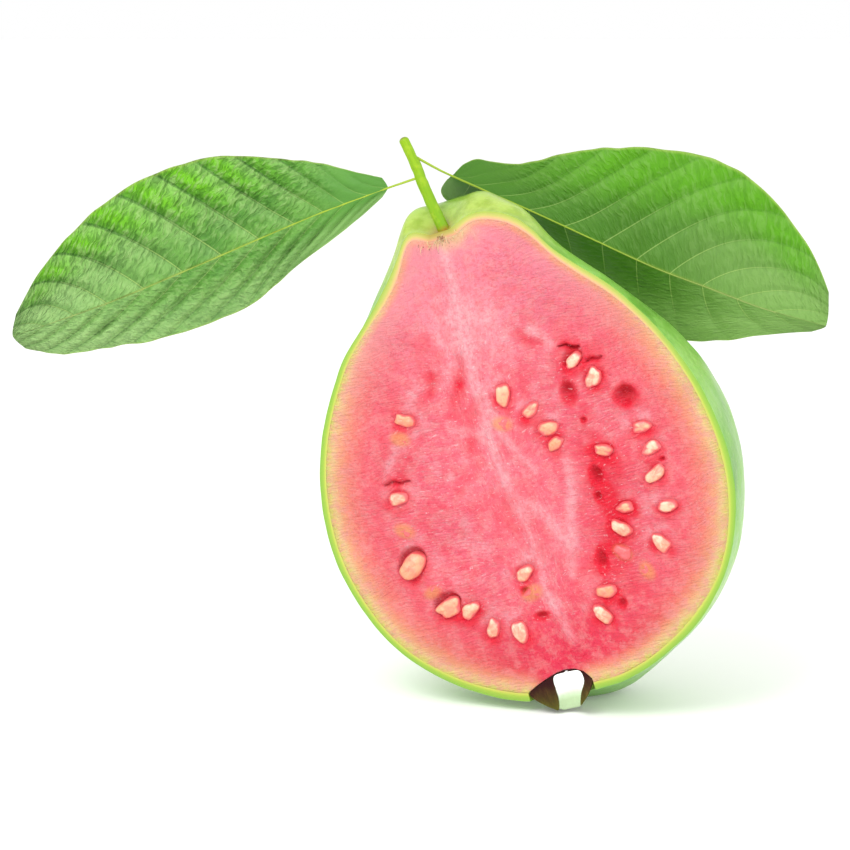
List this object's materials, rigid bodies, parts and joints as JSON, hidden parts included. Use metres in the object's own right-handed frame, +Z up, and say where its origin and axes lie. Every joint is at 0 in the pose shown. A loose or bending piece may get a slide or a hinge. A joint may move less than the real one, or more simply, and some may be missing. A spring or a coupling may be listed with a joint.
{
  "type": "guava",
  "caption": "Half of a pink guava, cut lengthwise to show its seedy flesh, standing on its blossom end, with its stem and leaves.",
  "frame": {"origin": "middle of the small flat spot at the blossom end, on which the half fruit stands", "axes": "+X to the right as one looks at the cut face and along the spread of the leaves, +Y away from the cut face, +Z up"},
  "size_m": [0.1507, 0.0541, 0.1024],
  "materials": {
    "skin": "thin waxy green guava skin, satin",
    "flesh": "moist pink guava flesh with cream seeds, paler towards the rim",
    "calyx": "dry brown sepals, matt",
    "stem": "fresh yellow-green stalk, satin",
    "leaf": "green leaf blade with pale veins, satin"
  },
  "bodies": {
    "root": {"skin": "skin", "flesh": "flesh", "calyx": "calyx", "stem": "stem", "leaf_left": "leaf", "leaf_right": "leaf"}
  },
  "joints": []
}
